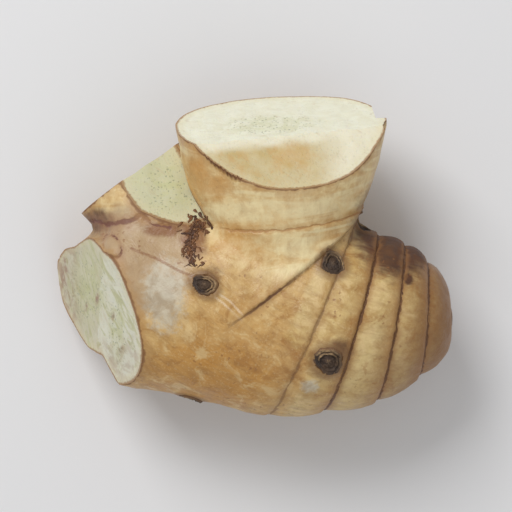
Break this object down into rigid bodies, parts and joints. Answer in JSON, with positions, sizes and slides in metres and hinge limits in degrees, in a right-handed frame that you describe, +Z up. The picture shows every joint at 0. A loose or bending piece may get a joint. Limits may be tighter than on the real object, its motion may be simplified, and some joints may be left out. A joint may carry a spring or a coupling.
{
  "type": "galangal root",
  "caption": "A cut piece of galangal rhizome: a ringed, rounded body with a thick sliced stem stump, sliced sides and root scars, lying on its side.",
  "frame": {"origin": "centre of the bounding box in X and Y, on the surface that the piece rests on", "axes": "+X towards the growing tip of the ringed body, +Y up the cut stem, +Z up from the table"},
  "size_m": [0.0704, 0.0564, 0.035],
  "materials": {
    "rhizome": "thin, waxy, satin root skin, ochre to straw yellow with brown rings; moist cream flesh on the cuts"
  },
  "bodies": {
    "root": {"galangal_root": "rhizome"}
  },
  "joints": []
}
